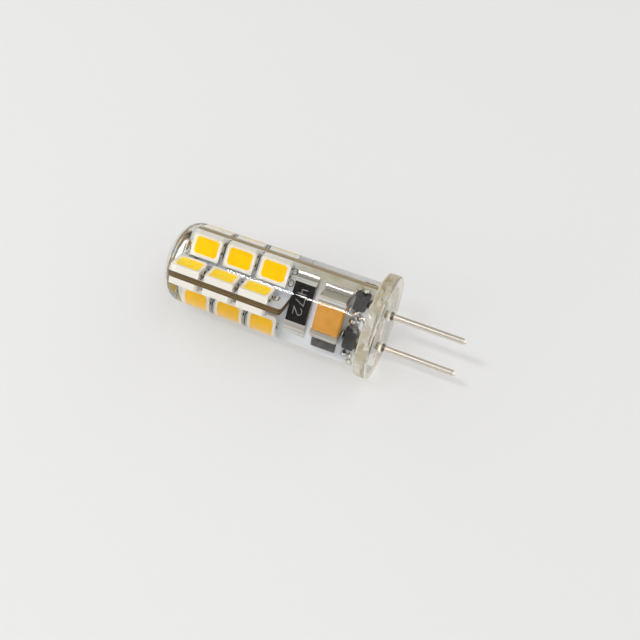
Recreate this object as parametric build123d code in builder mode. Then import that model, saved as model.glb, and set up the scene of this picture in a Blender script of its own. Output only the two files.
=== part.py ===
from build123d import *
import os

# Clear cast-silicone capsule lamp on two contact pins, lying on its side.
# X runs along the lamp from its round end to its pins, Z is up, sizes are millimetres.
# The origin is on the surface that the lamp lies on, under the middle of its length.
# The flange isn't centred on the body, so the lamp lies with the wide side of the flange up.

# Cast silicone
side_cover = 0.43
side_spread = 0.14
end_dome = 0.35
end_round = 2.0
flange_lip = 0.43
flange_thickness = 1.5
flange_shift = 0.55
flange_edge = 0.2
collar_height = 0.5
collar_wall = 0.4
collar_taper = 18

# Contact pins
pin_spacing = 4.0
pin_diameter = 0.7
pin_reach = 8.75
pin_gap = 0.15
pin_slot = 1.0
pin_point = 0.3
pin_point_radius = 0.15
pin_root = 0.62

# Printed boards, halved together into a cross, turned from upright as the lamp lies
board_turn = 32
board_thickness = 0.7
board_corner = 0.4
main_start = 1.85
main_cover = 1.15
main_drop = 0.2
cross_start = 1.1
cross_tail = 1.67
slot_clearance = 0.03

# LED packages, three in a row on each half face
leds_in_row = 3
led_gap = 0.7
led_length = 3.5
led_width = 2.8
led_height = 0.8
led_corner = 0.3
window_length = 2.8
window_width = 2.1
window_corner = 0.25
window_depth = 0.45
window_draft = 12
main_led_lead = 0.4
main_led_gap = 0.08
main_led_margin = 0.07
cross_led_lead = 0.28
cross_led_gap = 0.42
cross_led_margin = 0.03

# Flat metal feet of the LED and diode packages
foot_thickness = 0.15
led_foot_width = 2.0
led_foot_inside = 0.7
led_foot_outside = 0.15
diode_foot_width = 0.9
diode_foot_inside = 0.3
diode_foot_outside = 0.45

# Chip resistor
resistor_gap = 0.03
resistor_rise = 0.33
resistor_length = 5.0
resistor_width = 2.5
resistor_height = 0.55
resistor_cap = 0.6
resistor_cap_wall = 0.06

# Ceramic capacitor
capacitor_gap = 0.87
capacitor_rise = 0.3
capacitor_length = 4.3
capacitor_width = 3.2
capacitor_height = 2.0
capacitor_cap = 0.7
capacitor_cap_wall = 0.08
capacitor_edge = 0.15

# Rectifier diodes, two on each face
diode_gap = 0.4
upper_diode_rise = 2.4
lower_diode_rise = -1.3
diode_length = 1.8
diode_width = 1.6
diode_height = 1.0
diode_draft = 6
diode_corner = 0.2

# Solder
chip_solder_reach = 0.5
chip_solder_rise = 0.45
chip_solder_hollow = 0.37
cross_solder_place = 2.5
cross_solder_length = 1.1
cross_solder_radius = 0.6
pin_solder_lap = 0.2
pin_solder_width = 1.4
pin_solder_corner = 0.35
pin_solder_height = 0.3
pin_solder_slope = 40

# Across the lamp, each size follows from the LEDs in the corners of the cross
pin_radius = pin_diameter / 2
half_board = board_thickness / 2
slot_width = board_thickness + 2 * slot_clearance
led_top = half_board + led_height
main_led_offset = led_top + main_led_gap + led_width / 2
cross_led_offset = led_top + cross_led_gap + led_width / 2
main_width = 2 * (main_led_offset + main_drop + led_width / 2 + main_led_margin)
cross_width = 2 * (cross_led_offset + led_width / 2 + cross_led_margin)
end_radius = cross_width / 2 + side_cover
base_radius = end_radius + side_spread
flange_radius = base_radius + flange_shift + flange_lip
axis_height = flange_radius - flange_shift

# Along the lamp, each piece follows the one before it, from the round end to the pins
led_pitch = led_length + led_gap
main_first_led = main_start + main_led_lead + led_length / 2
cross_first_led = cross_start + cross_led_lead + led_length / 2
cross_end = cross_first_led + (leds_in_row - 1) * led_pitch + led_length / 2 + cross_tail
cross_middle = (cross_start + cross_end) / 2
resistor_place = cross_end + resistor_gap + resistor_width / 2
capacitor_place = resistor_place + resistor_width / 2 + capacitor_gap + capacitor_width / 2
diode_place = capacitor_place + capacitor_width / 2 + diode_gap + diode_width / 2
pin_start = diode_place + diode_width / 2 + pin_gap
main_end = pin_start + pin_slot
capsule_length = main_end + main_cover
round_start = capsule_length + collar_height
tip_x = -(capsule_length + pin_reach) / 2

# Two sizes closer than this count as the same
touch = 0.01

# The planes through the lamp's axis, with local x along the lamp from its round end.
# The long board lies in the front and rear planes, the short one in the upper and lower planes.
lamp_end = Vector(tip_x, 0, axis_height)
level = Plane(lamp_end, x_dir=(1, 0, 0), z_dir=(0, -1, 0))
front = level.rotated((-board_turn, 0, 0))
upper = level.rotated((-board_turn - 90, 0, 0))
rear = level.rotated((-board_turn + 180, 0, 0))
lower = level.rotated((-board_turn + 90, 0, 0))


def spot(plane, x, y, height=0.0):
    """A plane parallel to the given one, with its origin at local x, y and height."""
    origin = plane.from_local_coords(Vector(x, y, height))
    return Plane(origin, x_dir=plane.x_dir, z_dir=plane.z_dir)


def across(x, turned=False):
    """The plane square to the lamp at a distance from its round end.

    Its local y points up, or along the long board if it is turned.
    """
    origin = (tip_x + x, 0, axis_height)
    if turned:
        return Plane(origin, x_dir=-front.z_dir, z_dir=(1, 0, 0))
    return Plane(origin, x_dir=(0, 1, 0), z_dir=(1, 0, 0))


def save(piece, name):
    piece.label = name
    export_step(piece, f"parts/{name}.step")
    return piece


def board(plane, start, end, width, drop, slot_from, slot_to):
    """A printed board in a plane through the lamp's axis, with its half of the cross joint."""
    middle = (start + end) / 2
    with BuildPart() as panel:
        with BuildSketch(spot(plane, middle, -drop, -half_board)):
            RectangleRounded(end - start, width, board_corner)
            with Locations(((slot_from + slot_to) / 2 - middle, drop)):
                Rectangle(slot_to - slot_from, slot_width, mode=Mode.SUBTRACT)
        extrude(amount=board_thickness)
    return panel.part


def main_board():
    """The long board. Its end slots hold the two contact pins."""
    with BuildPart() as panel:
        add(board(front, main_start, main_end, main_width, main_drop, main_start, cross_middle))
        slot_depth = main_end - pin_start
        with BuildSketch(spot(front, pin_start + slot_depth / 2, 0, -half_board)):
            with GridLocations(0, pin_spacing, 1, 2):
                Rectangle(slot_depth, pin_diameter + 2 * slot_clearance)
        extrude(amount=board_thickness, mode=Mode.SUBTRACT)
    return panel.part


def contact_pin(rise):
    """A round pin with a cone point, pressed square where the board and the silicone hold it."""
    end = capsule_length + pin_reach
    with BuildPart() as pin:
        with BuildSketch(spot(across(pin_start, turned=True), 0, rise)):
            Rectangle(pin_root, pin_root)
        extrude(amount=round_start - pin_start)
        with BuildSketch(spot(front, 0, rise)):
            with BuildLine():
                Polyline(
                    (round_start, 0),
                    (round_start, pin_radius),
                    (end - pin_point, pin_radius),
                    (end, pin_point_radius),
                    (end, 0),
                    close=True,
                )
            make_face()
        revolve(axis=Axis(spot(front, 0, rise).origin, (1, 0, 0)))
    return pin.part


def feet(places, length, width, inside, outside):
    """Pairs of flat metal feet, one under each end of every package."""
    reach = length / 2 + outside
    run = inside + outside
    with BuildPart() as metal:
        with BuildSketch(*places):
            with GridLocations(2 * reach - run, 0, 2, 1):
                Rectangle(run, width)
        extrude(amount=foot_thickness)
    return metal.part


def led_case(place):
    """A white LED package with one cut corner, a tapered window and seats for its feet."""
    with BuildPart() as case:
        with BuildSketch(place):
            Rectangle(led_length, led_width)
        extrude(amount=led_height)
        posts = case.edges().filter_by(Axis(place.origin, place.z_dir))
        chamfer(posts.sort_by(Axis(place.origin, place.x_dir + place.y_dir))[-1], led_corner)
        with BuildSketch(place.offset(led_height)) as opening:
            Rectangle(window_length, window_width)
            chamfer(opening.vertices(), window_corner)
        extrude(amount=-window_depth, taper=window_draft, mode=Mode.SUBTRACT)
        add(
            feet([place], led_length, led_foot_width, led_foot_inside, led_foot_outside),
            mode=Mode.SUBTRACT,
        )
    return case.part


def led_fill(places):
    """The phosphor gel that fills the windows of one row, level with the packages."""
    with BuildPart() as gel:
        with BuildSketch(*[place.offset(led_height) for place in places]) as opening:
            Rectangle(window_length, window_width)
            chamfer(opening.vertices(), window_corner)
        extrude(amount=-window_depth, taper=window_draft)
    return gel.part


def chip(place, length, width, height, cap, wall, edge):
    """A chip part lying across the board: its core, and its two metal end caps as one group."""
    with BuildPart() as core:
        with BuildSketch(place.offset(wall)):
            Rectangle(width - 2 * wall, length - 2 * wall)
        extrude(amount=height - 2 * wall)
        if edge:
            chamfer(core.edges(), edge)
    with BuildPart() as caps:
        with BuildSketch(place):
            with GridLocations(0, length - cap, 1, 2):
                Rectangle(width, cap)
        extrude(amount=height)
        if edge:
            for end in (1, -1):
                outside = caps.faces().sort_by(Axis(place.origin, end * place.y_dir))[-1]
                chamfer(outside.edges(), edge)
        add(core.part, mode=Mode.SUBTRACT)
    return core.part, caps.part


def diode(place):
    """A moulded black diode package with drafted sides over its two feet."""
    with BuildPart() as body:
        with BuildSketch(place) as outline:
            Rectangle(diode_width, diode_length)
            chamfer(outline.vertices(), diode_corner)
        extrude(amount=diode_height, taper=diode_draft)
        add(diode_feet([place]), mode=Mode.SUBTRACT)
    return body.part


def diode_feet(places):
    turned = [Plane(place.origin, x_dir=place.y_dir, z_dir=place.z_dir) for place in places]
    return feet(turned, diode_length, diode_foot_width, diode_foot_inside, diode_foot_outside)


def solder_wedge(place, width, side):
    """A fillet of solder with a hollow slope, against the upper or lower end of a chip part."""
    profile = Plane(place.origin, x_dir=side * place.y_dir, z_dir=side * place.x_dir)
    with BuildPart() as wedge:
        with BuildSketch(profile.offset(-width / 2)):
            with BuildLine():
                Line((0, chip_solder_rise), (0, 0))
                Line((0, 0), (chip_solder_reach, 0))
                ThreePointArc(
                    (chip_solder_reach, 0),
                    (chip_solder_hollow * chip_solder_reach, chip_solder_hollow * chip_solder_rise),
                    (0, chip_solder_rise),
                )
            make_face()
        extrude(amount=width)
    return wedge.part


def chip_solder(place, length, width):
    return [
        solder_wedge(spot(place, 0, side * length / 2), width, side) for side in (1, -1)
    ]


def cross_solder():
    """A quarter-round bead of solder in each of the four corners of the cross."""
    with BuildPart() as beads:
        with BuildSketch(across(cross_solder_place - cross_solder_length / 2, turned=True)):
            Circle(half_board + cross_solder_radius)
            Rectangle(board_thickness, 4 * cross_solder_radius, mode=Mode.SUBTRACT)
            Rectangle(4 * cross_solder_radius, board_thickness, mode=Mode.SUBTRACT)
        extrude(amount=cross_solder_length)
    return beads.part


def pin_solder(held_pieces):
    """A lump of solder round the end of each pin, filling its slot and raised on both faces."""
    start = pin_start - pin_solder_lap
    length = main_end + pin_solder_lap - start
    steps = ((0, half_board, 0), (half_board, pin_solder_height, pin_solder_slope))
    with BuildPart() as lumps:
        for plane in (front, rear):
            for side in (1, -1):
                for foot, rise, slope in steps:
                    with BuildSketch(spot(plane, start + length / 2, side * pin_spacing / 2, foot)) as outline:
                        Rectangle(length, pin_solder_width)
                        chamfer(outline.vertices(), pin_solder_corner)
                    extrude(amount=rise, taper=slope)
        add(held_pieces, mode=Mode.SUBTRACT)
    return lumps.part


def capsule(inner_pieces):
    """The one cast silicone body, closed around everything that it holds."""
    flange_start = capsule_length - flange_thickness
    with BuildPart() as cast:
        with BuildSketch(front) as profile:
            with BuildLine():
                curve = TangentArc((0, 0), (end_dome, end_radius), tangent=(0, 1))
                Polyline(curve @ 1, (flange_start, base_radius), (flange_start, 0), (0, 0))
            make_face()
            fillet(profile.vertices().sort_by(Axis.X)[1], end_round)
        revolve(axis=Axis(lamp_end, (1, 0, 0)))
        with BuildSketch(spot(across(flange_start), 0, flange_shift)):
            Circle(flange_radius)
        extrude(amount=flange_thickness)
        rims = cast.edges().filter_by(GeomType.CIRCLE).filter_by(
            lambda edge: edge.radius > flange_radius - touch
        )
        chamfer(rims, flange_edge)
        with BuildSketch(across(capsule_length, turned=True)):
            with GridLocations(0, pin_spacing, 1, 2):
                Circle(pin_radius + collar_wall)
        extrude(amount=collar_height, taper=collar_taper)
        add(inner_pieces, mode=Mode.SUBTRACT)
    return cast.part


os.makedirs("parts", exist_ok=True)
inner = []

# The cross of boards
long_board = save(main_board(), "main_board")
inner.append(long_board)
inner.append(
    save(
        board(upper, cross_start, cross_end, cross_width, 0, cross_middle, cross_end),
        "cross_board",
    )
)
inner.append(save(cross_solder(), "cross_solder"))

# Eight rows of LEDs, one on each face of each half board
low_led_offset = main_led_offset + 2 * main_drop
rows = {
    "main_front_upper": (front, main_first_led, main_led_offset),
    "main_front_lower": (front, main_first_led, -low_led_offset),
    "main_rear_upper": (rear, main_first_led, -main_led_offset),
    "main_rear_lower": (rear, main_first_led, low_led_offset),
    "cross_upper_front": (upper, cross_first_led, -cross_led_offset),
    "cross_upper_rear": (upper, cross_first_led, cross_led_offset),
    "cross_lower_front": (lower, cross_first_led, cross_led_offset),
    "cross_lower_rear": (lower, cross_first_led, -cross_led_offset),
}
for row, (plane, first, row_y) in rows.items():
    places = [
        spot(plane, first + count * led_pitch, row_y, half_board)
        for count in range(leds_in_row)
    ]
    for count, place in enumerate(places, start=1):
        inner.append(save(led_case(place), f"led_case_{row}_{count}"))
    inner.append(save(led_fill(places), f"led_fill_{row}"))
    led_feet = feet(places, led_length, led_foot_width, led_foot_inside, led_foot_outside)
    inner.append(save(led_feet, f"led_feet_{row}"))

# Resistor and capacitor on the front face
resistor_spot = spot(front, resistor_place, resistor_rise, half_board)
core, caps = chip(
    resistor_spot, resistor_length, resistor_width, resistor_height,
    resistor_cap, resistor_cap_wall, 0,
)
inner.append(save(core, "resistor_body"))
inner.append(save(caps, "resistor_caps"))
capacitor_spot = spot(front, capacitor_place, capacitor_rise, half_board)
core, caps = chip(
    capacitor_spot, capacitor_length, capacitor_width, capacitor_height,
    capacitor_cap, capacitor_cap_wall, capacitor_edge,
)
inner.append(save(core, "capacitor_body"))
inner.append(save(caps, "capacitor_caps"))
wedges = chip_solder(resistor_spot, resistor_length, resistor_width)
wedges += chip_solder(capacitor_spot, capacitor_length, capacitor_width)
inner.append(save(Part() + wedges, "chip_solder"))

# Bridge of four diodes
diode_places = {}
for face_name, plane, up in (("front", front, 1), ("rear", rear, -1)):
    for end_name, rise in (("upper", upper_diode_rise), ("lower", lower_diode_rise)):
        diode_places[f"{face_name}_{end_name}"] = spot(plane, diode_place, up * rise, half_board)
for name, place in diode_places.items():
    inner.append(save(diode(place), f"diode_{name}"))
inner.append(save(diode_feet(list(diode_places.values())), "diode_feet"))

# Contact pins and their solder
pins = [
    save(contact_pin(side * pin_spacing / 2), f"contact_pin_{name}")
    for name, side in (("upper", 1), ("lower", -1))
]
inner += pins
inner.append(save(pin_solder([long_board, *pins]), "pin_solder"))

save(capsule(inner), "silicone_capsule")
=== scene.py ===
"""Looks of a clear silicone capsule lamp, laid out as an add-on and run as a script."""

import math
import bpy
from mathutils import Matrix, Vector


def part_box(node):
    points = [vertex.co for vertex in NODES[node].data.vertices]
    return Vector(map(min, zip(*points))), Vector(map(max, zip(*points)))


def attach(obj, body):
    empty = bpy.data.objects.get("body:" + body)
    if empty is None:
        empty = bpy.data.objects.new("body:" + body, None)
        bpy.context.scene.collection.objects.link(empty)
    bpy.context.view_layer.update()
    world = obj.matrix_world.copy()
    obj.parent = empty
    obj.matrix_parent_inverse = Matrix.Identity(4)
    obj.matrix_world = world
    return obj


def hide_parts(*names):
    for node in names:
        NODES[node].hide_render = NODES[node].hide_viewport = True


bl_info = {
    "name": "Capsule Lamp Looks",
    "version": (1, 0, 0),
    "blender": (4, 5, 0),
    "location": "View3D > Sidebar > Capsule Lamp",
    "description": "Finishes for a clear capsule lamp with chip LEDs on a cross of boards",
    "category": "Object",
}

import bmesh
import bpy
from bpy.props import FloatProperty, FloatVectorProperty, IntProperty, PointerProperty, StringProperty
from mathutils import Matrix, Quaternion, Vector, noise as wander

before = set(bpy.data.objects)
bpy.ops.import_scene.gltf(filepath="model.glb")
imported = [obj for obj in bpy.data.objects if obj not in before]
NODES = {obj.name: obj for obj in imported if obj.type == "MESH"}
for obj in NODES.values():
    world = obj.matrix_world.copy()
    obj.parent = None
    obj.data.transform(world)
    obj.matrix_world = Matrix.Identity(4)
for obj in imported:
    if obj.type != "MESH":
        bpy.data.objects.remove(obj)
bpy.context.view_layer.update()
MM = 0.001
BODY = "root"


# The lamp's own directions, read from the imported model

def middle_of(node):
    low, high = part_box(node)
    return (low + high) / 2


PINS = {name: middle_of(name) for name in ("contact_pin_upper", "contact_pin_lower")}
ALONG = Vector((1, 0, 0))
UP_THE_BOARD = (PINS["contact_pin_upper"] - PINS["contact_pin_lower"]).normalized()
TO_THE_FRONT = ALONG.cross(UP_THE_BOARD).normalized()
ROUND_END = Vector((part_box("silicone_capsule")[0].x, 0, sum(pin.z for pin in PINS.values()) / 2))
HALF_BOARD = 0.35
SQUARE_ON = 0.9
FACES = {
    "main_front": (TO_THE_FRONT, UP_THE_BOARD),
    "main_rear": (-TO_THE_FRONT, UP_THE_BOARD),
    "cross_upper": (UP_THE_BOARD, TO_THE_FRONT),
    "cross_lower": (-UP_THE_BOARD, TO_THE_FRONT),
}


def board_point(face, x, across, height):
    """A point over a board's face: along from the round end, across the board and off its surface."""
    normal, side = FACES[face]
    return ROUND_END + MM * (x * ALONG + across * side + (HALF_BOARD + height) * normal)


# Small detail on the boards, in millimetres: along from the round end, then across the board

# face, place along and across, radius
RING_PADS = (
    ("cross_upper", 13.75, 1.65, 0.26), ("cross_upper", 13.75, 2.15, 0.26), ("main_front", 14.55, 2.75, 0.30),
    ("main_front", 14.50, 1.45, 0.30), ("main_front", 1.99, 1.40, 0.12), ("cross_lower", 13.75, -1.8, 0.28),
    ("main_rear", 14.55, 2.75, 0.30), ("main_rear", 14.50, -1.45, 0.30), ("cross_upper", 13.75, -1.8, 0.28),
    ("main_rear", 16.6, 0.8, 0.3), ("main_rear", 18.4, -1.2, 0.3), ("main_rear", 20.2, 1.5, 0.3),
)
RING_HEIGHT, RING_INSET, RING_WIRE = 0.02, 0.09, 0.085
INK_RING_HEIGHT, INK_RING_OUTSET, INK_RING_WIRE = 0.012, 0.03, 0.045

# the stretch over which the painted shade, a tan-grey darkening of the mask, sets in, along from the round
# end and up the long board
SHADE_ALONG = (13.8, 15.2)
SHADE_UP = (0.8, 3.0)

# printed strokes between the LEDs of a face, and bars along the middle of the short board
LED_GAPS = {"cross": (5.23, 9.43), "main": (6.10, 10.30)}
LED_ROWS = {"cross": 2.97, "main": 2.63}
LOWER_ROW_SHIFT = 0.4
TICK = ((-0.12, -1.15), (-0.12, 0.55), (0.10, 0.85))
TICK_WIDTH = 0.10
DASH = ((-0.02, 1.05), (0.20, 1.30))
DASH_WIDTH = 0.09
BAR = ((-0.55, 0.05), (0.25, 0.0))
BAR_WIDTH = 0.16
BAR_PLACES = (5.5, 9.7)
BAR_ACROSS = 1.12
INK_HEIGHT = 0.015
INK_DEPTH = 0.03

# from an LED's middle: the corners across it, then each notch, a dark block of painted shade, and lead at its
# end
LED_CORNERS = (-0.55, 0.5)
NOTCH_ALONG, NOTCH_HEIGHT, NOTCH_SIZE, NOTCH_ROUND = 1.80, 0.20, (0.12, 0.22, 0.26), 0.04
NOTCH_STRAY = 0.16
LEAD_ALONG, LEAD_ASIDE, LEAD_HEIGHT, LEAD_SIZE = 1.84, 0.30, 0.07, (0.24, 0.30, 0.20)

# dark pads under the capacitor's ends: painted shadow that the capacitor casts on the board, and painted dark
# reflection of the solder there
# place along and across, height, size, round of the edges
CAPACITOR_SHADE_PADS = (
    (19.9, -2.58, 0.08, (2.9, 0.72, 0.20), 0.08),
    (19.95, 2.62, 0.05, (2.5, 0.30, 0.12), 0.05),
)

# place along and across, size
DIODE_BEADS = (
    (22.5, 0.95, (0.7, 0.6, 0.9)), (23.1, 0.6, (0.7, 0.6, 0.7)), (22.4, -2.65, (0.7, 0.6, 0.9)),
    (23.1, -2.75, (0.6, 0.6, 0.8)), (22.4, 0.05, (0.8, 0.7, 0.6)), (22.8, 3.55, (0.8, 0.5, 0.9)),
    (21.75, 1.0, (0.35, 0.7, 0.35)), (21.75, -1.2, (0.35, 0.9, 0.45)), (21.75, 2.9, (0.35, 0.8, 0.4)),
    (23.75, 0.5, (0.4, 0.5, 0.5)), (23.75, -0.9, (0.35, 0.7, 0.4)), (23.2, -3.2, (0.9, 0.45, 0.5)),
)
DIODE_BEAD_HEIGHT, DIODE_BEAD_LUMPS = 0.12, 0.45
CROSS_BEAD_ROWS = (("cross_upper", 0.95), ("cross_upper", 1.25), ("main_front", 0.95))
CROSS_BEAD_PLACES = (1.65, 2.2, 3.0)
CROSS_BEAD_SIZE = (0.75, 0.34, 0.36)
CROSS_BEAD_HEIGHT, CROSS_BEAD_LUMPS = 0.06, 0.5

# lines of each digit in a square of one by one
DIGITS = {
    "2": (((0.0, 0.8), (0.25, 1.0), (0.75, 1.0), (1.0, 0.8), (1.0, 0.6), (0.0, 0.0), (1.0, 0.0)),),
    "4": (((0.0, 1.0), (0.0, 0.4), (1.0, 0.4)), ((0.75, 1.0), (0.75, 0.0))),
    "7": (((0.0, 1.0), (1.0, 1.0), (0.35, 0.0)),),
}
CODE_DEPTH = 0.02


# Sizes and colours

class SiliconeSettings(bpy.types.PropertyGroup):
    end_radius: FloatProperty(name="End radius", description="Body radius at the round end",
                              default=4.83 * MM, unit="LENGTH")
    base_radius: FloatProperty(name="Base radius", description="Body radius at the flange",
                               default=4.97 * MM, unit="LENGTH")
    end_dome: FloatProperty(name="End dome", description="Height of the domed end",
                            default=0.35 * MM, unit="LENGTH")
    end_round: FloatProperty(name="End round", description="Radius between end and side",
                             default=2.0 * MM, unit="LENGTH")
    length: FloatProperty(name="Length", description="Round end to pin face",
                          default=25.85 * MM, unit="LENGTH")
    flange_radius: FloatProperty(name="Flange radius", description="Radius of the flange",
                                 default=5.95 * MM, unit="LENGTH")
    flange_thickness: FloatProperty(name="Flange thickness", description="Thickness of the flange",
                                    default=1.5 * MM, unit="LENGTH")
    flange_shift: FloatProperty(name="Flange shift", description="Flange centre above the axis",
                                default=0.55 * MM, unit="LENGTH")
    edge_round: FloatProperty(name="Flange edge", description="Round of the flange's edges",
                              default=0.25 * MM, unit="LENGTH")
    root_round: FloatProperty(name="Flange root", description="Round between body and flange",
                              default=0.15 * MM, unit="LENGTH")
    collar_height: FloatProperty(name="Collar height", description="Silicone drawn up each pin",
                                 default=0.5 * MM, unit="LENGTH")
    collar_top: FloatProperty(name="Collar top", description="Radius of each collar's top",
                              default=0.4 * MM, unit="LENGTH")
    collar_foot: FloatProperty(name="Collar foot", description="Radius of each collar's foot",
                               default=0.95 * MM, unit="LENGTH")
    collar_hollow: FloatProperty(name="Collar hollow", description="Hollow of its side, 1 is straight",
                                 default=2.4)
    segments: IntProperty(name="Segments", description="Segments round the body", default=192)
    tint: FloatVectorProperty(name="Tint", description="Colour of the silicone",
                              subtype="COLOR", size=3, default=(0.985, 0.975, 0.95))
    # painted reflection: the straw colour of the body's edges, for the tan surroundings they mirror
    edge_reflection_tint: FloatVectorProperty(name="Edge tint", description="Colour where it is seen edge on",
                                   subtype="COLOR", size=3, default=(0.50, 0.42, 0.26))
    shade: FloatVectorProperty(name="Shade", description="Light that passes it square on",
                               subtype="COLOR", size=3, default=(0.98, 0.975, 0.955))
    edge_shade: FloatVectorProperty(name="Edge shade", description="Light that passes it edge on",
                                    subtype="COLOR", size=3, default=(0.38, 0.30, 0.19))
    milk_tint: FloatVectorProperty(name="Milk tint", description="Colour of the cloudy silicone",
                                   subtype="COLOR", size=3, default=(0.80, 0.72, 0.52))
    milk: FloatProperty(name="Milkiness", description="Share of cloudy silicone in the flange",
                        default=0.8, subtype="FACTOR")
    roughness: FloatProperty(name="Roughness", description="Softness of what is seen through it",
                             default=0.045, subtype="FACTOR")
    ior: FloatProperty(name="Refraction", description="Index of refraction", default=1.41)


class ColourSettings(bpy.types.PropertyGroup):
    mask: FloatVectorProperty(name="Board mask", description="White solder mask",
                              subtype="COLOR", size=3, default=(0.64, 0.67, 0.72))
    # painted shade: the short board's cut edge is the same laminate as the long board's, kept darker because
    # it faces away from the light
    laminate: FloatVectorProperty(name="Laminate", description="Cut edge of the short board",
                                  subtype="COLOR", size=3, default=(0.14, 0.095, 0.045))
    # painted light: the long board's cut edge is kept lighter because it faces up into the light
    lit_long_laminate: FloatVectorProperty(name="Long laminate", description="Cut edge of the long board",
                                       subtype="COLOR", size=3, default=(0.34, 0.28, 0.18))
    end_laminate: FloatVectorProperty(name="End laminate", description="Routed ends of the boards",
                                      subtype="COLOR", size=3, default=(0.55, 0.50, 0.38))
    case: FloatVectorProperty(name="LED case", description="White LED plastic",
                              subtype="COLOR", size=3, default=(0.78, 0.77, 0.74))
    phosphor: FloatVectorProperty(name="Phosphor", description="LED fill on the long board",
                                  subtype="COLOR", size=3, default=(1.0, 0.56, 0.002))
    # painted sheen: the same phosphor as on the long board, paler and yellower as its glossy gel looks when
    # seen at a slant
    sheen_paled_phosphor: FloatVectorProperty(name="Cross phosphor", description="LED fill on the short board",
                                        subtype="COLOR", size=3, default=(1.0, 0.73, 0.04))
    tin: FloatVectorProperty(name="Tin", description="Tinned metal",
                             subtype="COLOR", size=3, default=(0.74, 0.73, 0.70))
    pin: FloatVectorProperty(name="Pins", description="Nickel of the pins",
                             subtype="COLOR", size=3, default=(0.76, 0.70, 0.63))
    resistor: FloatVectorProperty(name="Resistor", description="Black glaze",
                                  subtype="COLOR", size=3, default=(0.012, 0.012, 0.014))
    capacitor: FloatVectorProperty(name="Capacitor", description="Tan ceramic",
                                   subtype="COLOR", size=3, default=(0.56, 0.27, 0.055))
    # painted shade: the dark of the notches at the LEDs' ends; the print that shares this colour is real ink
    notch: FloatVectorProperty(name="Notch", description="Dark notches and print",
                               subtype="COLOR", size=3, default=(0.035, 0.03, 0.028))
    # painted shade: a tan-grey darkening of the mask high on the long board past the LEDs
    painted_board_shade: FloatVectorProperty(name="Flux", description="Film on the bare board",
                              subtype="COLOR", size=3, default=(0.40, 0.38, 0.29))
    # painted reflection: the dark of the rings round the pins stands in for the dark the silicone collars
    # mirror where the pins leave them
    ring: FloatVectorProperty(name="Pin rings", description="Dark solder drawn up the pins",
                              subtype="COLOR", size=3, default=(0.16, 0.15, 0.14))
    # painted shadow and painted dark reflection: the dark of the pads under the capacitor's ends
    capacitor_shade: FloatVectorProperty(name="Bare pad", description="Dull pads at the capacitor",
                              subtype="COLOR", size=3, default=(0.09, 0.09, 0.09))
    code: FloatVectorProperty(name="Code print", description="Pale print on the resistor",
                              subtype="COLOR", size=3, default=(0.27, 0.27, 0.27))
    diode: FloatVectorProperty(name="Diode", description="Black moulding",
                               subtype="COLOR", size=3, default=(0.02, 0.02, 0.024))


class CodeSettings(bpy.types.PropertyGroup):
    text: StringProperty(name="Code", description="Digits 2, 4 and 7 only", default="472")
    digit_height: FloatProperty(name="Digit height", description="Height of a digit",
                                default=1.0 * MM, unit="LENGTH")
    digit_width: FloatProperty(name="Digit width", description="Width of a digit",
                               default=0.60 * MM, unit="LENGTH")
    gap: FloatProperty(name="Gap", description="Space between digits", default=0.30 * MM, unit="LENGTH")
    line: FloatProperty(name="Line", description="Width of the print", default=0.085 * MM, unit="LENGTH")
    shift: FloatProperty(name="Shift", description="Towards the pins from the resistor's middle",
                         default=-0.05 * MM, unit="LENGTH")


# rings round the pins that carry the painted dark reflection of the silicone collars
class DarkReflectionRingSettings(bpy.types.PropertyGroup):
    rise: FloatProperty(name="Rise", description="Middle of the ring above the pin face",
                        default=0.32 * MM, unit="LENGTH")
    radius: FloatProperty(name="Radius", description="Radius of the ring", default=0.365 * MM, unit="LENGTH")
    wire: FloatProperty(name="Thickness", description="Half the ring's thickness",
                        default=0.06 * MM, unit="LENGTH")
    stretch: FloatProperty(name="Stretch", description="Height of the ring over its thickness", default=3.6)


class StageSettings(bpy.types.PropertyGroup):
    floor_colour: FloatVectorProperty(name="Floor", description="Pale floor",
                                      subtype="COLOR", size=3, default=(0.72, 0.72, 0.72))
    floor_glow: FloatProperty(name="Floor glow", description="Share of the floor's tone that shadows leave",
                              default=0.3, subtype="FACTOR")
    floor_reach: FloatProperty(name="Floor reach", description="From the middle of the floor to its sides",
                               default=1.0, unit="LENGTH")
    sky: FloatProperty(name="Sky", description="Strength of the pale surroundings", default=1.27)
    sky_dim: FloatVectorProperty(name="Dim sky", description="Colour of the band over the lamp",
                                 subtype="COLOR", size=3, default=(0.22, 0.205, 0.18))
    sky_dim_place: FloatProperty(name="Dim place", description="The dim band's direction, as its X",
                                 default=-0.216)
    key_place: FloatVectorProperty(name="Key place", description="Place of the narrow key light",
                                   subtype="TRANSLATION", size=3, default=(-0.139, -0.173, 0.451))
    key_size: FloatVectorProperty(name="Key size", description="Length and width of the key light",
                                  unit="LENGTH", size=2, default=(0.100, 0.040))
    key_power: FloatProperty(name="Key power", description="Power of the key light",
                             default=0.62, unit="POWER")
    fill_place: FloatVectorProperty(name="Fill place", description="Place of the soft fill light",
                                    subtype="TRANSLATION", size=3, default=(-0.33, -0.34, 0.21))
    fill_size: FloatVectorProperty(name="Fill size", description="Length and width of the fill light",
                                   unit="LENGTH", size=2, default=(0.18, 0.18))
    fill_power: FloatProperty(name="Fill power", description="Power of the fill light",
                              default=0.45, unit="POWER")
    camera_place: FloatVectorProperty(name="Camera", description="Place of the camera", subtype="TRANSLATION",
                                      size=3, default=(19.103 * MM, -43.154 * MM, 73.88 * MM))
    camera_target: FloatVectorProperty(name="Target", description="Point looked at", subtype="TRANSLATION",
                                       size=3, default=(1.403 * MM, -1.494 * MM, ROUND_END.z))
    camera_roll: FloatProperty(name="Camera roll", description="Turn about the view",
                               default=math.radians(0.42), subtype="ANGLE")
    lens: FloatProperty(name="Lens", description="Focal length for a 36 mm sensor",
                        default=41.515, unit="CAMERA")


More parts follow.
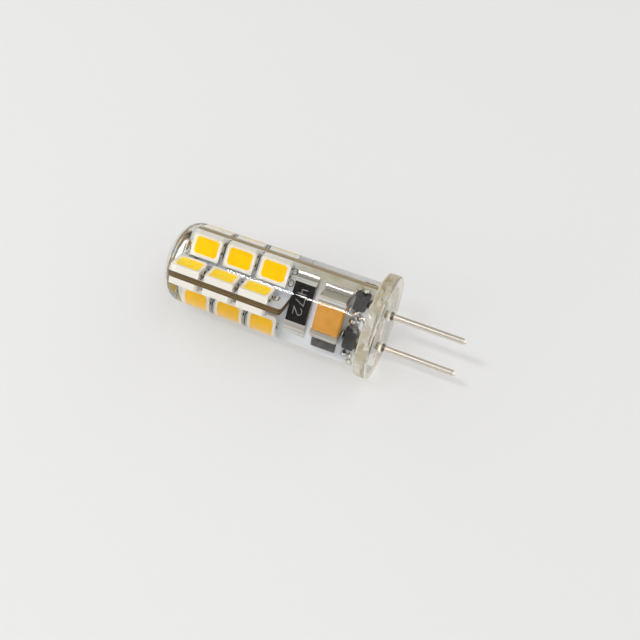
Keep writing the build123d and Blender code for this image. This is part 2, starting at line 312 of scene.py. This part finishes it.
# Materials

def node_of(tree, kind):
    return next(node for node in tree.nodes if node.type == kind)


def new_material(name):
    material = bpy.data.materials.new(name)
    material.use_nodes = True
    tree = material.node_tree
    return material, tree, node_of(tree, "BSDF_PRINCIPLED")


def math_node(tree, operation, *values, clamp=True):
    node = tree.nodes.new("ShaderNodeMath")
    node.operation = operation
    node.use_clamp = clamp
    for place, value in enumerate(values):
        if isinstance(value, (int, float)):
            node.inputs[place].default_value = value
        else:
            tree.links.new(value, node.inputs[place])
    return node.outputs[0]


def mix_shaders(tree, share, first, second):
    mix = tree.nodes.new("ShaderNodeMixShader")
    for place, source in enumerate((share, first, second)):
        tree.links.new(source, mix.inputs[place])
    return mix.outputs[0]


def add_ramp(tree, factor, low, high, socket):
    """Feeds a socket from a ramp between two stops, each a position and a colour."""
    ramp = tree.nodes.new("ShaderNodeValToRGB")
    for element, (position, colour) in zip(ramp.color_ramp.elements, (low, high)):
        element.position = position
        element.color = (*colour, 1)
    tree.links.new(factor, ramp.inputs["Fac"])
    tree.links.new(ramp.outputs["Color"], socket)
    return ramp.color_ramp


def noise(tree, scale, detail=3.0, rough=0.5):
    place = tree.nodes.new("ShaderNodeTexCoord")
    texture = tree.nodes.new("ShaderNodeTexNoise")
    texture.inputs["Scale"].default_value = scale
    texture.inputs["Detail"].default_value = detail
    texture.inputs["Roughness"].default_value = rough
    tree.links.new(place.outputs["Object"], texture.inputs["Vector"])
    return texture.outputs["Fac"]


def distance_along(tree, direction):
    """Where a point lies along a direction, in metres."""
    place = tree.nodes.new("ShaderNodeTexCoord")
    measure = tree.nodes.new("ShaderNodeVectorMath")
    measure.operation = "DOT_PRODUCT"
    measure.inputs[1].default_value = direction
    tree.links.new(place.outputs["Object"], measure.inputs[0])
    return measure.outputs["Value"]


def rise_along(tree, direction, start, end):
    """From 0 to 1 along a direction, between two distances in millimetres from the round end."""
    spread = tree.nodes.new("ShaderNodeMapRange")
    spread.interpolation_type = "SMOOTHSTEP"
    origin = ROUND_END.dot(direction)
    spread.inputs["From Min"].default_value = origin + MM * start
    spread.inputs["From Max"].default_value = origin + MM * end
    tree.links.new(distance_along(tree, direction), spread.inputs["Value"])
    return spread.outputs[0]


def bump(tree, shader, scale, strength, distance=0.00002):
    node = tree.nodes.new("ShaderNodeBump")
    node.inputs["Strength"].default_value = strength
    node.inputs["Distance"].default_value = distance
    tree.links.new(noise(tree, scale, 4.0), node.inputs["Height"])
    tree.links.new(node.outputs["Normal"], shader.inputs["Normal"])


def vary_colour(tree, shader, colour, amount, scale):
    """Colour that wanders a little between two close tones."""
    low = [max(0.0, part * (1 - amount)) for part in colour]
    high = [min(1.0, part * (1 + amount * 0.5)) for part in colour]
    add_ramp(tree, noise(tree, scale), (0.3, low), (0.7, high), shader.inputs["Base Color"])


def streak_colour(tree, shader, colour, direction, pitch, lighter):
    """Streaks square to a direction, about a pitch in millimetres apart, from dark to lighter tones."""
    join = tree.nodes.new("ShaderNodeCombineXYZ")
    tree.links.new(distance_along(tree, direction), join.inputs[0])
    stripes = tree.nodes.new("ShaderNodeTexNoise")
    stripes.inputs["Scale"].default_value = 1 / (MM * pitch)
    stripes.inputs["Detail"].default_value = 1.0
    tree.links.new(join.outputs[0], stripes.inputs["Vector"])
    dark = [0.45 * part for part in colour]
    light = [min(1.0, lighter * part) for part in colour]
    add_ramp(tree, stripes.outputs["Fac"], (0.35, dark), (0.65, light), shader.inputs["Base Color"])


def plain_finish(name, colour, roughness, metallic=0.0, vary=0.06, grain=3000, lumps=0.15, shine=0.05):
    """A finish for what the silicone wets, so that only metal shines under it."""
    material, tree, shader = new_material(name)
    shader.inputs["Specular IOR Level"].default_value = shine
    shader.inputs["Roughness"].default_value = roughness
    shader.inputs["Metallic"].default_value = metallic
    vary_colour(tree, shader, colour, vary, grain)
    bump(tree, shader, grain, lumps)
    return material


def mask_finish(name, colour, shade_colour):
    """White solder mask, with painted shade in tan-grey patches high on the stretch past the LEDs."""
    material = plain_finish(name, colour, 0.45, vary=0.05, grain=900, lumps=0.1)
    tree = material.node_tree
    base = node_of(tree, "BSDF_PRINCIPLED").inputs["Base Color"]
    white = base.links[0].from_socket
    # painted shade, laid in patches over the white mask
    past_the_leds = rise_along(tree, ALONG, *SHADE_ALONG)
    high_up = rise_along(tree, UP_THE_BOARD, *SHADE_UP)
    shade_patches = math_node(tree, "ADD", noise(tree, 800, 4.0, 0.6), 0.35)
    share = math_node(tree, "MULTIPLY", math_node(tree, "MULTIPLY", past_the_leds, high_up), shade_patches)
    mix = tree.nodes.new("ShaderNodeMix")
    mix.data_type = "RGBA"
    tree.links.new(share, mix.inputs["Factor"])
    tree.links.new(white, mix.inputs[6])
    mix.inputs[7].default_value = (*shade_colour, 1)
    tree.links.new(mix.outputs[2], base)
    return material


def laminate_finish(name, colour, normal):
    """The cut edge of a glass laminate: plies that run along the board."""
    material, tree, shader = new_material(name)
    shader.inputs["Specular IOR Level"].default_value = 0.05
    shader.inputs["Roughness"].default_value = 0.7
    streak_colour(tree, shader, colour, normal, pitch=0.12, lighter=1.6)
    bump(tree, shader, 6000, 0.4)
    return material


def tin_with_painted_sheen(name, colour):
    """Tinned ends, with painted sheen: light and dark streaks in their colour run across the chip."""
    material, tree, shader = new_material(name)
    shader.inputs["Metallic"].default_value = 1.0
    shader.inputs["Roughness"].default_value = 0.28
    # painted reflection: the streaks stand in for the light and dark that the rounded tin mirrors
    streak_colour(tree, shader, colour, UP_THE_BOARD, pitch=0.22, lighter=1.25)
    bump(tree, shader, 2500, 0.5, 0.00004)
    return material


def milk_share(tree, own):
    """How cloudy the silicone is: mostly in the thickness of the flange, and in patches."""
    face_x = ROUND_END.x + own.length
    across_flange = tree.nodes.new("ShaderNodeMapRange")
    across_flange.inputs["From Min"].default_value = face_x - own.flange_thickness - 1.0 * MM
    across_flange.inputs["From Max"].default_value = face_x + 0.5 * MM
    tree.links.new(distance_along(tree, ALONG), across_flange.inputs["Value"])
    spread = tree.nodes.new("ShaderNodeFloatCurve")
    curve = spread.mapping.curves[0]
    curve.points[0].location = (0.0, 0.02)
    curve.points[1].location = (1.0, 0.15)
    for where, share in ((0.30, 0.30), (0.42, 1.0), (0.70, 0.90), (0.80, 0.25)):
        curve.points.new(where, share)
    spread.mapping.update()
    tree.links.new(across_flange.outputs[0], spread.inputs["Value"])
    patches = tree.nodes.new("ShaderNodeMapRange")
    patches.inputs["From Min"].default_value = 0.35
    patches.inputs["From Max"].default_value = 0.65
    patches.inputs["To Min"].default_value = 0.35
    tree.links.new(noise(tree, 550, 5.0, 0.6), patches.inputs["Value"])
    share = math_node(tree, "MULTIPLY", spread.outputs[0], patches.outputs[0])
    return math_node(tree, "MULTIPLY", share, own.milk)


def silicone_material(own):
    """Clear silicone, cloudier in the flange, that lets the lamps shine on what is inside it."""
    material, tree, shader = new_material("clear_silicone")
    glancing = tree.nodes.new("ShaderNodeLayerWeight")
    glancing.inputs["Blend"].default_value = 0.5
    # painted reflection: where the body is seen edge on its colour turns straw-coloured, standing in for the
    # tan surroundings and brown board edges it mirrors there
    add_ramp(tree, glancing.outputs["Facing"], (0.74, own.tint), (0.97, own.edge_reflection_tint),
             shader.inputs["Base Color"])
    shader.inputs["Transmission Weight"].default_value = 1.0
    shader.inputs["Roughness"].default_value = own.roughness
    shader.inputs["IOR"].default_value = own.ior
    shader.inputs["Coat Weight"].default_value = 0.45
    shader.inputs["Coat Roughness"].default_value = 0.03
    shader.inputs["Coat IOR"].default_value = 1.35
    shader.inputs["Specular Tint"].default_value = (0.15, 0.15, 0.15, 1)
    bump(tree, shader, 250, 0.006, 0.0001)
    milk = tree.nodes.new("ShaderNodeBsdfTranslucent")
    milk.inputs["Color"].default_value = (*own.milk_tint, 1)
    cloudy = mix_shaders(tree, milk_share(tree, own), shader.outputs[0], milk.outputs[0])
    path = tree.nodes.new("ShaderNodeLightPath")
    clear = tree.nodes.new("ShaderNodeBsdfTransparent")
    add_ramp(tree, glancing.outputs["Facing"], (0.50, own.shade), (1.0, own.edge_shade),
             clear.inputs["Color"])
    surface = mix_shaders(tree, path.outputs["Is Shadow Ray"], cloudy, clear.outputs[0])
    tree.links.new(surface, node_of(tree, "OUTPUT_MATERIAL").inputs["Surface"])
    return material


def floor_material(stage):
    """A pale floor whose shadows are softened where the camera, gloss or glass looks at it."""
    material, tree, shader = new_material("pale_floor")
    shader.inputs["Base Color"].default_value = (*stage.floor_colour, 1)
    shader.inputs["Roughness"].default_value = 0.7
    bump(tree, shader, 300, 0.05)
    glow = tree.nodes.new("ShaderNodeEmission")
    glow.inputs["Color"].default_value = (*stage.floor_colour, 1)
    path = tree.nodes.new("ShaderNodeLightPath")
    seen = math_node(tree, "ADD", path.outputs["Is Camera Ray"], path.outputs["Is Glossy Ray"])
    seen = math_node(tree, "ADD", seen, path.outputs["Is Transmission Ray"])
    share = math_node(tree, "MULTIPLY", seen, stage.floor_glow)
    surface = mix_shaders(tree, share, shader.outputs[0], glow.outputs[0])
    tree.links.new(surface, node_of(tree, "OUTPUT_MATERIAL").inputs["Surface"])
    return material


# Meshes

def new_piece(name, mesh, material):
    piece = bpy.data.objects.new(name, mesh)
    bpy.context.scene.collection.objects.link(piece)
    mesh.materials.append(material)
    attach(piece, BODY)
    return piece


def dress(node_names, material):
    for name in node_names:
        node = NODES[name]
        node.data.materials.clear()
        node.data.materials.append(material)


def nodes_named(start):
    return [name for name in sorted(NODES) if name.startswith(start)]


def finish_form(form, name):
    mesh = bpy.data.meshes.new(name)
    bmesh.ops.recalc_face_normals(form, faces=form.faces)
    for face in form.faces:
        face.smooth = True
    form.to_mesh(mesh)
    form.free()
    return mesh


def arc(centre_x, centre_r, radius, start, end, steps, rise=0.0):
    """Rings along an arc of a turned profile, angles in degrees from along the lamp."""
    rings = []
    for step in range(steps + 1):
        angle = math.radians(start + (end - start) * step / steps)
        rings.append((centre_x + radius * math.cos(angle), centre_r + radius * math.sin(angle), rise))
    return rings


def run(start, end, steps):
    """Rings in even steps from after the start up to the end."""
    return [tuple(a + (b - a) * step / steps for a, b in zip(start, end)) for step in range(1, steps + 1)]


def silicone_rings(own):
    """Rings of the cast body from its round end to the middle of its pin face: x, radius, rise."""
    dome_radius = (own.end_radius ** 2 + own.end_dome ** 2) / (2 * own.end_dome)
    inner = own.end_radius - own.end_round
    # the round meets the dome where both lean alike
    lean = math.asin(inner / (dome_radius - own.end_round))
    round_x = dome_radius - (dome_radius - own.end_round) * math.cos(lean)
    meeting = 180 - math.degrees(lean)
    flange_x = own.length - own.flange_thickness
    root_x = flange_x - own.root_round
    rim = own.flange_radius - own.edge_round
    shift = own.flange_shift
    rings = arc(dome_radius, 0, dome_radius, 180, meeting, steps=12)
    rings += arc(round_x, inner, own.end_round, meeting, 90, steps=14)[1:]
    rings += run(rings[-1], (root_x, own.base_radius, 0.0), steps=40)
    rings += arc(root_x, own.base_radius + own.root_round, own.root_round, -90, 0, steps=5)[1:]
    rings += run(rings[-1], (flange_x, rim, shift), steps=4)
    rings += arc(flange_x + own.edge_round, rim, own.edge_round, 180, 90, steps=6, rise=shift)[1:]
    rings += arc(own.length - own.edge_round, rim, own.edge_round, 90, 0, steps=6, rise=shift)
    rings += run(rings[-1], (own.length, 0.0, 0.0), steps=56)
    return rings


def collar_rise(own, y, z):
    """How far the pin face is drawn up the nearest pin."""
    gap = min(math.hypot(y - pin.y, z - pin.z) for pin in PINS.values())
    share = (gap - own.collar_top) / (own.collar_foot - own.collar_top)
    return own.collar_height * (1 - min(1.0, max(0.0, share))) ** own.collar_hollow


def skin_mesh(own):
    form = bmesh.new()
    first = form.verts.new(ROUND_END)
    circles = []
    for x, radius, rise in silicone_rings(own)[1:-1]:
        circle = []
        for count in range(own.segments):
            angle = 2 * math.pi * count / own.segments
            y = radius * math.cos(angle)
            z = ROUND_END.z + rise + radius * math.sin(angle)
            drawn = collar_rise(own, y, z) if math.isclose(x, own.length) else 0.0
            circle.append(form.verts.new((ROUND_END.x + x + drawn, y, z)))
        circles.append(circle)
    last = form.verts.new((ROUND_END.x + own.length, 0, ROUND_END.z))
    for count in range(own.segments):
        after = (count + 1) % own.segments
        form.faces.new((first, circles[0][count], circles[0][after]))
        form.faces.new((last, circles[-1][after], circles[-1][count]))
        for one, two in zip(circles, circles[1:]):
            form.faces.new((one[count], two[count], two[after], one[after]))
    return finish_form(form, "silicone_skin")


def face_frame(face, x, across, height):
    """The place of a small detail on a board's face: its x runs along the lamp, its z off the board."""
    normal, side = FACES[face]
    if ALONG.cross(side).dot(normal) < 0:
        side = -side
    turn = Matrix((ALONG, side, normal)).transposed()
    return Matrix.Translation(board_point(face, x, across, height)) @ turn.to_4x4()


def add_block(form, place, size, edge_round):
    """A block with rounded edges, its middle at the place, sizes in millimetres."""
    stretch = Matrix.Diagonal((*(MM * length for length in size), 1))
    made = bmesh.ops.create_cube(form, size=1.0, matrix=place @ stretch)
    edges = list({edge for vertex in made["verts"] for edge in vertex.link_edges})
    bmesh.ops.bevel(form, geom=edges, offset=MM * edge_round, segments=2, profile=0.5, affect="EDGES")


def add_ring(form, place, radius, wire, flatness=0.5):
    """A flattened ring lying on the place, sizes in millimetres."""
    steps, sides = 36, 10
    loops = []
    for step in range(steps):
        angle = 2 * math.pi * step / steps
        loop = []
        for side in range(sides):
            turn = 2 * math.pi * side / sides
            reach = radius + wire * math.cos(turn)
            height = flatness * wire * math.sin(turn)
            point = MM * Vector((reach * math.cos(angle), reach * math.sin(angle), height))
            loop.append(form.verts.new(place @ point))
        loops.append(loop)
    for one, two in zip(loops, loops[1:] + loops[:1]):
        for side in range(sides):
            after = (side + 1) % sides
            form.faces.new((one[side], two[side], two[after], one[after]))


def add_bead(form, place, size, seed, lumps=0.22):
    """A bead of solder that froze uneven, sizes in millimetres."""
    stretch = Matrix.Diagonal((*(MM * length / 2 for length in size), 1))
    made = bmesh.ops.create_icosphere(form, subdivisions=3, radius=1.0)
    for vertex in made["verts"]:
        swell = 1 + lumps * wander.noise(vertex.co * 1.6 + Vector((seed * 7.3, seed * 3.1, seed)))
        vertex.co = place @ stretch @ (vertex.co * swell)


def add_stroke(form, place, points, width, height):
    """A printed line through the points, which are millimetres on the place."""
    for start, end in zip(points, points[1:]):
        run_of_line = Vector((end[0] - start[0], end[1] - start[1], 0))
        middle = Vector(((start[0] + end[0]) / 2, (start[1] + end[1]) / 2, 0))
        turn = Matrix.Rotation(math.atan2(run_of_line.y, run_of_line.x), 4, "Z")
        add_block(form, place @ Matrix.Translation(MM * middle) @ turn,
                  (run_of_line.length + width, width, height), min(width, height) * 0.3)


# Operators

class SiliconeSkin(bpy.types.Operator):
    """The clear cast body, closed over everything inside it"""
    bl_idname = "capsule_lamp.silicone_skin"
    bl_label = "Silicone skin"

    def execute(self, context):
        own = context.scene.capsule_lamp.silicone
        skin = new_piece("silicone_skin", skin_mesh(own), silicone_material(own))
        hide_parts("silicone_capsule")
        return {"FINISHED"}


class Boards(bpy.types.Operator):
    """White solder mask on the faces of both boards and brown laminate on their cut edges"""
    bl_idname = "capsule_lamp.boards"
    bl_label = "Boards"

    def execute(self, context):
        colours = context.scene.capsule_lamp.colours
        mask = mask_finish("white_solder_mask", colours.mask, colours.painted_board_shade)
        # one laminate on both boards' cut edges, painted lit on the long board and shaded on the short one
        for name, normal, colour in (("main_board", TO_THE_FRONT, colours.lit_long_laminate),
                                     ("cross_board", UP_THE_BOARD, colours.laminate)):
            laminate = laminate_finish("laminate_of_" + name, colour, normal)
            pale = laminate_finish("routed_end_of_" + name, colours.end_laminate, normal)
            node = NODES[name]
            node.data.materials.clear()
            for material in (mask, laminate, pale):
                node.data.materials.append(material)
            for polygon in node.data.polygons:
                if abs(polygon.normal.dot(normal)) > SQUARE_ON:
                    polygon.material_index = 0
                elif -polygon.normal.dot(ALONG) > SQUARE_ON:
                    polygon.material_index = 2
                else:
                    polygon.material_index = 1
        return {"FINISHED"}


class BoardDetail(bpy.types.Operator):
    """Ring pads, printed marks and dark pads at the capacitor that carry painted shadow and reflection"""
    bl_idname = "capsule_lamp.board_detail"
    bl_label = "Board detail"

    def execute(self, context):
        colours = context.scene.capsule_lamp.colours
        rings, ink, shade_pads = bmesh.new(), bmesh.new(), bmesh.new()
        for face, x, across, radius in RING_PADS:
            add_ring(rings, face_frame(face, x, across, RING_HEIGHT), radius - RING_INSET, RING_WIRE)
            place = face_frame(face, x, across, INK_RING_HEIGHT)
            add_ring(ink, place, radius + INK_RING_OUTSET, INK_RING_WIRE)
        for face in ("cross_upper", "cross_lower", "main_front", "main_rear"):
            self.add_print(ink, face)
        for x, across, height, size, edge_round in CAPACITOR_SHADE_PADS:
            add_block(shade_pads, face_frame("main_front", x, across, height), size, edge_round)
        new_piece("ring_pads", finish_form(rings, "ring_pads"),
                  tin_with_painted_sheen("ring_tin", colours.tin))
        new_piece("board_print", finish_form(ink, "board_print"),
                  plain_finish("print_ink", colours.notch, 0.5, vary=0.4))
        # painted shadow of the capacitor and painted dark reflection of its solder
        capacitor_shade = plain_finish("painted_capacitor_shade", colours.capacitor_shade, 0.35, metallic=0.6, vary=0.6, grain=2200, lumps=0.6)
        new_piece("capacitor_shade_pads", finish_form(shade_pads, "capacitor_shade_pads"), capacitor_shade)
        return {"FINISHED"}

    def add_print(self, ink, face):
        """Strokes in the gaps between a face's LEDs, and bars along the middle of the short board."""
        board = face.split("_")[0]
        for x in LED_GAPS[board]:
            for side in (-1, 1):
                row = LED_ROWS[board]
                if board == "main" and side < 0:
                    row += LOWER_ROW_SHIFT
                place = face_frame(face, x, side * row, INK_HEIGHT)
                add_stroke(ink, place, TICK, TICK_WIDTH, INK_DEPTH)
                add_stroke(ink, place, DASH, DASH_WIDTH, INK_DEPTH)
        if board == "cross":
            for x in BAR_PLACES:
                for side in (-1, 1):
                    place = face_frame(face, x, side * BAR_ACROSS, INK_HEIGHT)
                    add_stroke(ink, place, BAR, BAR_WIDTH, INK_DEPTH)


class Leds(bpy.types.Operator):
    """White cases, yellow phosphor and tinned feet of the LEDs"""
    bl_idname = "capsule_lamp.leds"
    bl_label = "LEDs"

    def execute(self, context):
        colours = context.scene.capsule_lamp.colours
        case = plain_finish("led_case_plastic", colours.case, 0.4, vary=0.03)
        phosphor = plain_finish("phosphor_gel", colours.phosphor, 0.35, vary=0.07, grain=1500)
        # painted sheen: the short board's phosphor is kept paler for the gloss of its gel seen at a slant
        sheen_paled_gel = plain_finish("phosphor_gel_with_painted_sheen", colours.sheen_paled_phosphor, 0.35, vary=0.07, grain=1500)
        tin = plain_finish("led_tin", colours.tin, 0.35, metallic=1.0)
        dress(nodes_named("led_case"), case)
        dress(nodes_named("led_fill_main"), phosphor)
        dress(nodes_named("led_fill_cross"), sheen_paled_gel)
        dress(nodes_named("led_feet"), tin)
        return {"FINISHED"}


class LedLeads(bpy.types.Operator):
    """A dark block of painted shade in the notch, and the tinned lead, at each corner of the LEDs' ends"""
    bl_idname = "capsule_lamp.led_leads"
    bl_label = "LED leads"

    def execute(self, context):
        colours = context.scene.capsule_lamp.colours
        notch_shades, leads = bmesh.new(), bmesh.new()
        count = 0
        for name in nodes_named("led_case"):
            face = next(key for key in FACES if name.startswith("led_case_" + key))
            place = middle_of(name) - ROUND_END
            x, across = place.x / MM, place.dot(FACES[face][1]) / MM
            for end in (-1, 1):
                for corner in LED_CORNERS:
                    count += 1
                    stray = NOTCH_STRAY * wander.noise(Vector((count * 1.7, 0.3, 0.9)))
                    notch = face_frame(face, x + end * NOTCH_ALONG, across + corner + stray, NOTCH_HEIGHT)
                    lead = face_frame(face, x + end * LEAD_ALONG, across + corner + LEAD_ASIDE, LEAD_HEIGHT)
                    # a dark block of painted shade in each lead notch
                    add_block(notch_shades, notch, NOTCH_SIZE, NOTCH_ROUND)
                    add_bead(leads, lead, LEAD_SIZE, count)
        new_piece("led_notch_shades", finish_form(notch_shades, "led_notch_shades"),
                  plain_finish("notch_shade", colours.notch, 0.5, vary=0.3))
        new_piece("led_leads", finish_form(leads, "led_leads"),
                  tin_with_painted_sheen("lead_tin", colours.tin))
        return {"FINISHED"}


class Chips(bpy.types.Operator):
    """The resistor, the capacitor and the diodes"""
    bl_idname = "capsule_lamp.chips"
    bl_label = "Chips"

    def execute(self, context):
        colours = context.scene.capsule_lamp.colours
        tin = tin_with_painted_sheen("chip_tin", colours.tin)
        glaze = plain_finish("resistor_glaze", colours.resistor, 0.3)
        ceramic = plain_finish("capacitor_ceramic", colours.capacitor, 0.45, vary=0.10, grain=1200)
        moulding = plain_finish("diode_moulding", colours.diode, 0.22, lumps=0.6, grain=1500, shine=0.7)
        dress(["resistor_body"], glaze)
        dress(["capacitor_body"], ceramic)
        dress(["resistor_caps", "capacitor_caps", "diode_feet"], tin)
        dress([name for name in nodes_named("diode_") if name != "diode_feet"], moulding)
        return {"FINISHED"}


class ResistorCode(bpy.types.Operator):
    """A plain value code printed on the resistor"""
    bl_idname = "capsule_lamp.resistor_code"
    bl_label = "Resistor code"

    def execute(self, context):
        lamp = context.scene.capsule_lamp
        own = lamp.code
        line, height, width = own.line / MM, own.digit_height / MM, own.digit_width / MM
        glaze = (middle_of("resistor_body") - ROUND_END) / MM
        corners = NODES["resistor_body"].data.vertices
        top = max((corner.co - ROUND_END).dot(TO_THE_FRONT) for corner in corners) / MM
        place = face_frame("main_front", glaze.x + own.shift / MM, glaze.dot(UP_THE_BOARD), top - HALF_BOARD)
        # the code reads down the board, its tops towards the pins
        place = place @ Matrix(((0, 1, 0, 0), (-1, 0, 0, 0), (0, 0, 1, 0), (0, 0, 0, 1)))
        gap = own.gap / MM
        pitch = width + gap
        start = -(len(own.text) * pitch - gap) / 2
        form = bmesh.new()
        for count, digit in enumerate(own.text):
            left = start + count * pitch
            for stroke in DIGITS[digit]:
                points = [(left + x * width, (y - 0.5) * height) for x, y in stroke]
                add_stroke(form, place, points, line, CODE_DEPTH)
        new_piece("resistor_code", finish_form(form, "resistor_code"),
                  plain_finish("code_ink", lamp.colours.code, 0.5, vary=0.15))
        return {"FINISHED"}


class Metal(bpy.types.Operator):
    """The contact pins, dark rings round them just above the pin face for a painted dark reflection in the
    silicone collars, and the solder inside
    """
    bl_idname = "capsule_lamp.metal"
    bl_label = "Pins and solder"

    def execute(self, context):
        lamp = context.scene.capsule_lamp
        nickel = plain_finish("pin_nickel", lamp.colours.pin, 0.33, metallic=1.0, lumps=0.1)
        solder = plain_finish("solder", lamp.colours.tin, 0.25, metallic=1.0, lumps=0.8)
        dress(list(PINS), nickel)
        dress(["pin_solder", "chip_solder", "cross_solder"], solder)
        # dark rings of painted reflection round each pin just above the pin face
        own = lamp.dark_reflection_rings
        ring_x = ROUND_END.x + lamp.silicone.length + own.rise
        upright = Matrix.Rotation(math.radians(90), 4, "Y")
        rings = bmesh.new()
        for pin in PINS.values():
            place = Matrix.Translation((ring_x, pin.y, pin.z)) @ upright
            add_ring(rings, place, own.radius / MM, own.wire / MM, own.stretch)
        new_piece("dark_reflection_rings", finish_form(rings, "dark_reflection_rings"),
                  tin_with_painted_sheen("dark_reflection_ring_tin", lamp.colours.ring))
        return {"FINISHED"}


class SolderBeads(bpy.types.Operator):
    """Uneven solder round the diodes and where the boards cross"""
    bl_idname = "capsule_lamp.solder_beads"
    bl_label = "Solder beads"

    def execute(self, context):
        form = bmesh.new()
        count = 0
        for face in ("main_front", "main_rear"):
            for x, across, size in DIODE_BEADS:
                count += 1
                place = face_frame(face, x, across, DIODE_BEAD_HEIGHT)
                add_bead(form, place, size, count, DIODE_BEAD_LUMPS)
        for face, across in CROSS_BEAD_ROWS:
            for x in CROSS_BEAD_PLACES:
                count += 1
                place = face_frame(face, x, across, CROSS_BEAD_HEIGHT)
                add_bead(form, place, CROSS_BEAD_SIZE, count, CROSS_BEAD_LUMPS)
        tin = context.scene.capsule_lamp.colours.tin
        solder = plain_finish("bead_solder", tin, 0.18, metallic=1.0, vary=0.3, lumps=0.6)
        new_piece("solder_beads", finish_form(form, "solder_beads"), solder)
        return {"FINISHED"}


class Stage(bpy.types.Operator):
    """Pale floor, soft lights and the camera"""
    bl_idname = "capsule_lamp.stage"
    bl_label = "Stage"

    def execute(self, context):
        stage = context.scene.capsule_lamp.stage
        context.scene.view_settings.view_transform = "Standard"
        self.floor(context.scene, stage, context.scene.capsule_lamp.silicone)
        self.world(context.scene, stage)
        self.light(context.scene, "key", stage.key_place, stage.key_size, stage.key_power)
        self.light(context.scene, "fill", stage.fill_place, stage.fill_size, stage.fill_power)
        self.camera(context.scene, stage)
        return {"FINISHED"}

    def floor(self, scene, stage, silicone):
        """A floor that leans just enough to touch both the flange and the round end."""
        contact_x = ROUND_END.x + silicone.length - silicone.flange_thickness + silicone.edge_round
        tip_x = ROUND_END.x + silicone.end_round
        slope = (ROUND_END.z - silicone.end_radius) / (contact_x - tip_x)
        reach = stage.floor_reach
        sides = ((-reach, -reach), (reach, -reach), (reach, reach), (-reach, reach))
        mesh = bpy.data.meshes.new("floor")
        mesh.from_pydata([(x, y, (contact_x - x) * slope) for x, y in sides], [], [(0, 1, 2, 3)])
        mesh.materials.append(floor_material(stage))
        floor = bpy.data.objects.new("floor", mesh)
        scene.collection.objects.link(floor)

    def world(self, scene, stage):
        """Two broad pale sides and a dim band over the lamp, so that its long side mirrors little."""
        world = bpy.data.worlds.new("studio")
        scene.world = world
        world.use_nodes = True
        tree = world.node_tree
        background = tree.nodes["Background"]
        place = tree.nodes.new("ShaderNodeTexCoord")
        direction = tree.nodes.new("ShaderNodeSeparateXYZ")
        tree.links.new(place.outputs["Generated"], direction.inputs[0])
        aside = math_node(tree, "ADD", direction.outputs["X"], -stage.sky_dim_place, clamp=False)
        aside = math_node(tree, "ABSOLUTE", aside, clamp=False)
        ramp = add_ramp(tree, aside, (0.10, stage.sky_dim), (0.50, (1, 1, 1)), background.inputs["Color"])
        ramp.interpolation = "EASE"
        background.inputs["Strength"].default_value = stage.sky

    def light(self, scene, name, place, size, power):
        """A rectangular light that faces the lamp, its long side along the lamp."""
        data = bpy.data.lights.new(name, "AREA")
        data.shape = "RECTANGLE"
        data.size, data.size_y = size
        data.energy = power
        light = bpy.data.objects.new(name, data)
        scene.collection.objects.link(light)
        back = Vector(place).normalized()
        side = (ALONG - ALONG.dot(back) * back).normalized()
        turn = Matrix((side, back.cross(side), back)).transposed()
        light.matrix_world = Matrix.Translation(place) @ turn.to_4x4()

    def camera(self, scene, stage):
        data = bpy.data.cameras.new("camera")
        data.lens = stage.lens
        data.sensor_width = 36
        data.clip_start = 0.001
        camera = bpy.data.objects.new("camera", data)
        scene.collection.objects.link(camera)
        place = Vector(stage.camera_place)
        camera.location = place
        camera.rotation_mode = "QUATERNION"
        aim = (Vector(stage.camera_target) - place).to_track_quat("-Z", "Y")
        camera.rotation_quaternion = aim @ Quaternion((0, 0, 1), stage.camera_roll)
        scene.camera = camera


class CapsuleLampSettings(bpy.types.PropertyGroup):
    silicone: PointerProperty(name="Silicone", description="The cast body", type=SiliconeSettings)
    colours: PointerProperty(name="Colours", description="Colours of the pieces", type=ColourSettings)
    code: PointerProperty(name="Code", description="Print on the resistor", type=CodeSettings)
    dark_reflection_rings: PointerProperty(name="Pin rings", description="Solder drawn up the pins", type=DarkReflectionRingSettings)
    stage: PointerProperty(name="Stage", description="Floor, lights and camera", type=StageSettings)


OPERATORS = (
    SiliconeSkin, Boards, BoardDetail, Leds, LedLeads, Chips, ResistorCode, Metal, SolderBeads, Stage,
)


class CapsuleLampPanel(bpy.types.Panel):
    """Lists the pieces of the lamp"""
    bl_idname = "VIEW3D_PT_capsule_lamp"
    bl_label = "Capsule Lamp"
    bl_space_type = "VIEW_3D"
    bl_region_type = "UI"
    bl_category = "Capsule Lamp"

    def draw(self, context):
        for operator in OPERATORS:
            self.layout.operator(operator.bl_idname)


CLASSES = (
    SiliconeSettings, ColourSettings, CodeSettings, DarkReflectionRingSettings, StageSettings, CapsuleLampSettings,
    *OPERATORS, CapsuleLampPanel,
)


def register():
    for cls in CLASSES:
        bpy.utils.register_class(cls)
    bpy.types.Scene.capsule_lamp = PointerProperty(type=CapsuleLampSettings)


def unregister():
    del bpy.types.Scene.capsule_lamp
    for cls in reversed(CLASSES):
        bpy.utils.unregister_class(cls)


def main():
    register()
    bpy.ops.capsule_lamp.silicone_skin()
    bpy.ops.capsule_lamp.boards()
    bpy.ops.capsule_lamp.board_detail()
    bpy.ops.capsule_lamp.leds()
    bpy.ops.capsule_lamp.led_leads()
    bpy.ops.capsule_lamp.chips()
    bpy.ops.capsule_lamp.resistor_code()
    bpy.ops.capsule_lamp.metal()
    bpy.ops.capsule_lamp.solder_beads()
    bpy.ops.capsule_lamp.stage()


if __name__ == "__main__":
    main()
